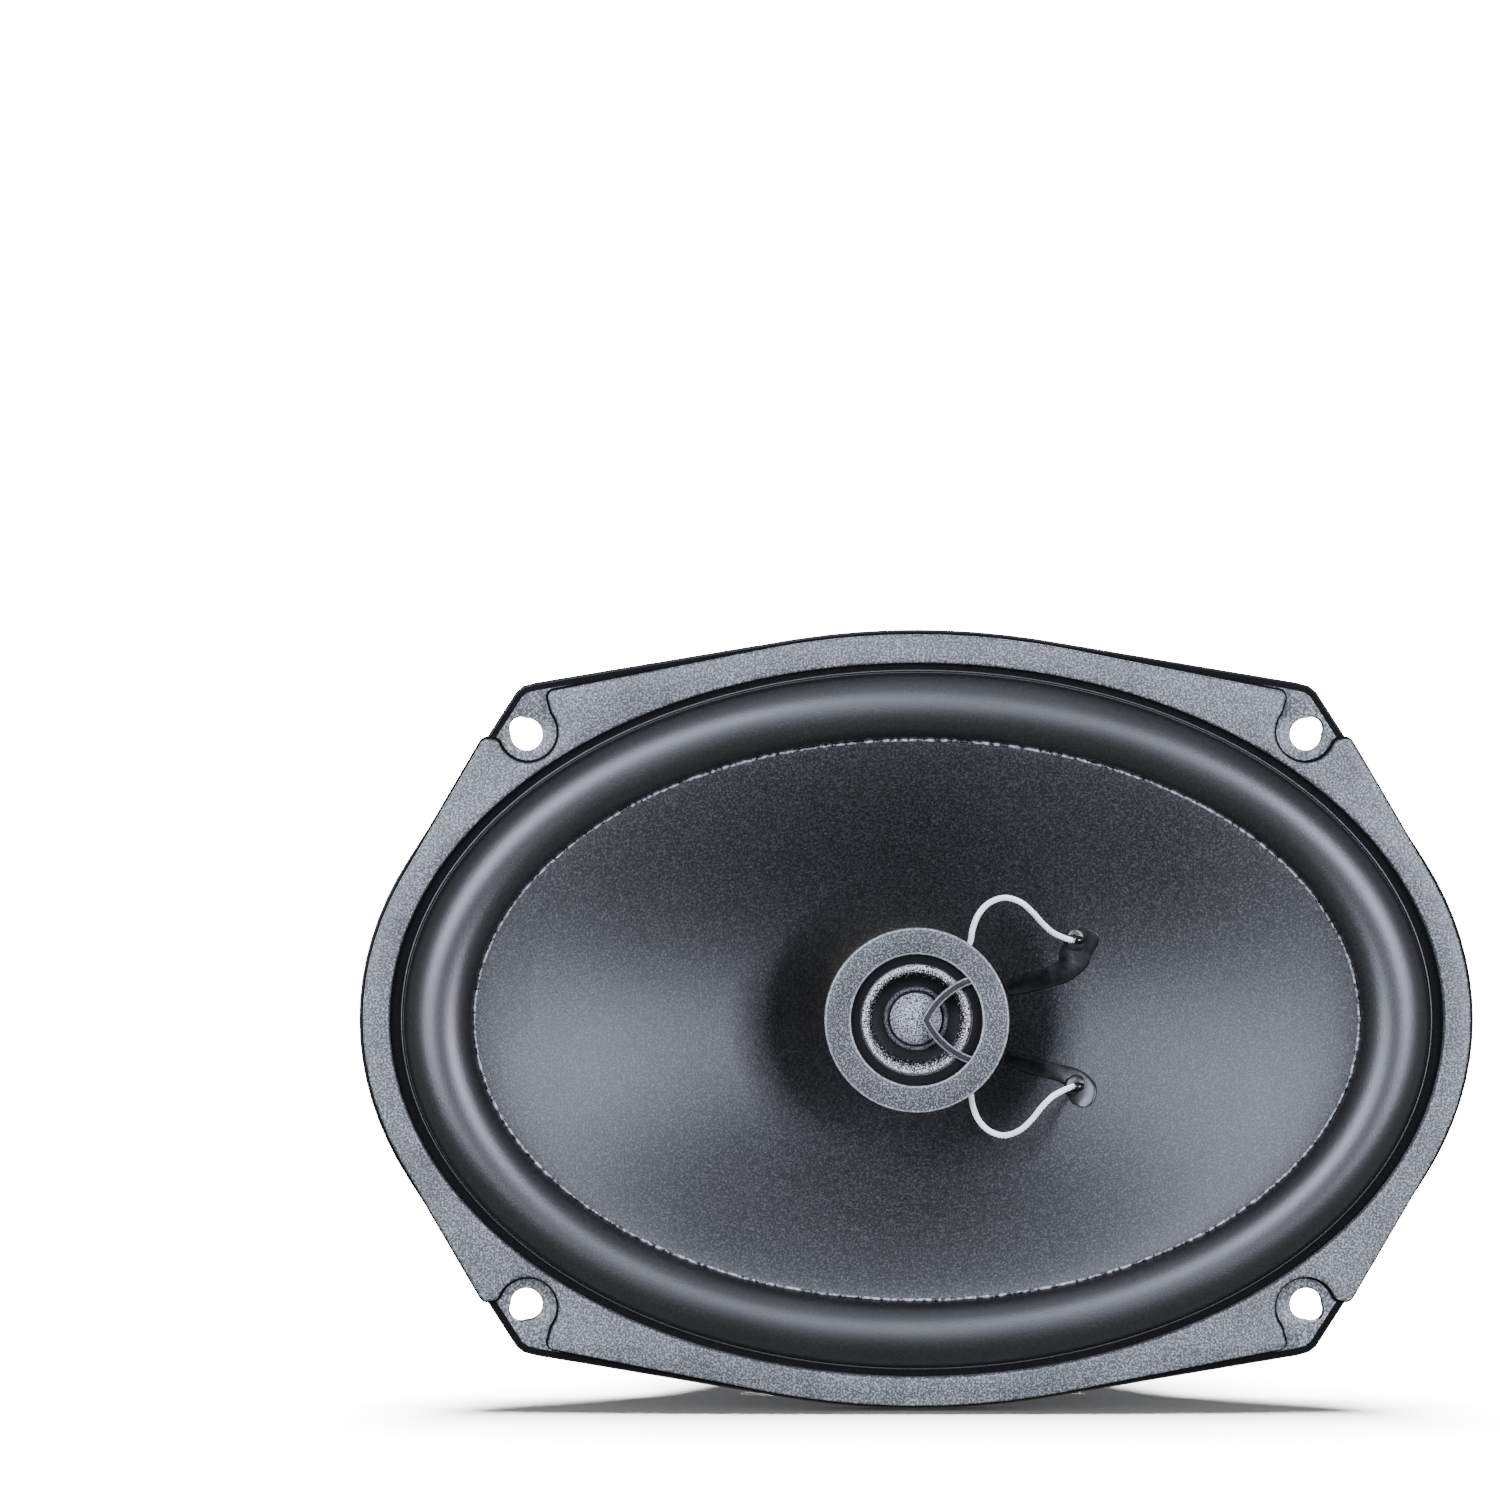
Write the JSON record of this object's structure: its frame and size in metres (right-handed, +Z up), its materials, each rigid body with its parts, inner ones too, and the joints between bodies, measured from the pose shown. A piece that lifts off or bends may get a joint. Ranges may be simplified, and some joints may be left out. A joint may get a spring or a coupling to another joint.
{
  "type": "coaxial car speaker",
  "caption": "Oval two-way coaxial car speaker: eared frame with trim ring, rubber surround, oval cone, post-mounted dome tweeter, ferrite motor and rear blade terminals.",
  "frame": {"origin": "centre of the four mounting holes, in the plane of the flange's rear edge and gasket, which meets the car's panel", "axes": "+X along the long side, -Y out of the cone towards the listener, +Z up along the short side"},
  "size_m": [0.236, 0.0889, 0.165],
  "materials": {
    "frame_steel": "satin",
    "gasket_foam": "matte",
    "ring_plastic": "satin",
    "surround_rubber": "satin",
    "cone_plastic": "satin",
    "edge_glue": "satin",
    "spider_cloth": "matte",
    "former": "satin",
    "copper": "satin",
    "plated_steel": "satin",
    "ferrite": "matte",
    "neodymium": "polished",
    "black_plastic": "satin",
    "dome_film": "satin",
    "felt": "matte",
    "capacitor_sleeve": "gloss",
    "lead_braid": "satin",
    "black_glue": "gloss",
    "board": "satin",
    "tinned_brass": "satin",
    "solder": "satin"
  },
  "bodies": {
    "frame": {"basket": "frame_steel", "rear_gasket": "gasket_foam", "trim_ring": "ring_plastic", "surround": "surround_rubber", "spider": "spider_cloth", "top_plate": "plated_steel", "magnet": "ferrite", "back_plate": "plated_steel", "plate_rivets": "plated_steel", "tweeter_post": "black_plastic", "post_screw": "plated_steel", "post_washer": "plated_steel", "tweeter_housing": "black_plastic", "tweeter_bezel": "ring_plastic", "tweeter_clamp_ring": "black_plastic", "tweeter_diaphragm": "dome_film", "tweeter_pole_plate": "plated_steel", "tweeter_magnet": "neodymium", "tweeter_yoke": "plated_steel", "tweeter_felt": "felt", "crossover_capacitor": "capacitor_sleeve", "tweeter_lead_upper": "lead_braid", "tweeter_lead_lower": "lead_braid", "terminal_lead_upper": "lead_braid", "terminal_lead_lower": "lead_braid", "terminal_board": "board", "terminal_positive": "tinned_brass", "terminal_negative": "tinned_brass", "terminal_rivets": "plated_steel", "terminal_board_rivet": "plated_steel", "solder_joints": "solder"},
    "cone_assembly": {"cone": "cone_plastic", "cone_edge_glue": "edge_glue", "voice_coil_former": "former", "voice_coil_winding": "copper", "lead_eyelets": "tinned_brass", "lead_glue_upper": "black_glue", "lead_glue_lower": "black_glue"},
    "tweeter_coil": {"tweeter_voice_coil": "copper"}
  },
  "joints": [
    {"name": "cone_travel", "type": "slide", "parent": "frame", "child": "cone_assembly", "axis": [0, -1, 0], "range_m": [-0.005, 0.005], "stiffness_N_per_m": 2200, "deforming": ["surround", "spider", "tweeter_lead_upper", "tweeter_lead_lower", "terminal_lead_upper", "terminal_lead_lower"]},
    {"name": "tweeter_travel", "type": "slide", "parent": "frame", "child": "tweeter_coil", "axis": [0, -1, 0], "range_m": [-0.0003, 0.0003], "stiffness_N_per_m": 500, "deforming": ["tweeter_diaphragm"]}
  ]
}
